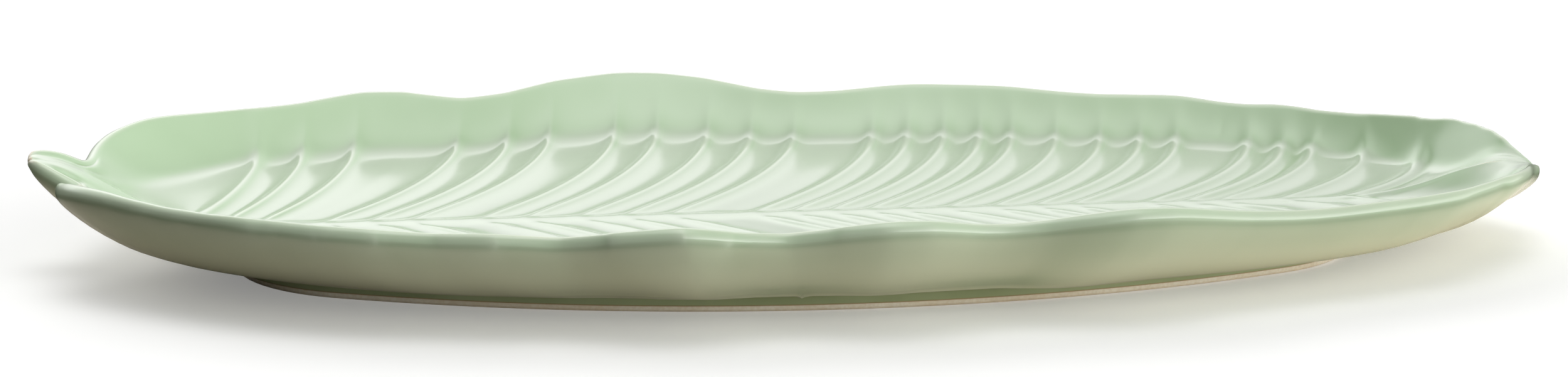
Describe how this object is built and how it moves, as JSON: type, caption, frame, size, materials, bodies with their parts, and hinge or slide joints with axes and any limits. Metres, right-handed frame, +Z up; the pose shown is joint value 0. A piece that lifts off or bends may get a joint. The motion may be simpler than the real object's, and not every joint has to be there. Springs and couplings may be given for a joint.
{
  "type": "leaf shaped plate",
  "caption": "Long leaf shaped serving plate in glazed ceramic, with a low wavy wall, raised midrib and veins, a stem stub and an oval foot ring.",
  "frame": {"origin": "on the table, under the middle of the plate's box", "axes": "+X along the midrib toward the drip tip, +Y across toward the far lip, +Z up out of the dish"},
  "size_m": [0.3009, 0.1545, 0.0239],
  "materials": {
    "clay": "bare fired clay, matt",
    "glaze": "glossy pale green celadon glaze"
  },
  "bodies": {
    "root": {"leaf_body": "clay", "foot_ring": "clay", "upper_glaze": "glaze", "under_glaze": "glaze", "foot_glaze": "glaze", "well_glaze": "glaze"}
  },
  "joints": []
}
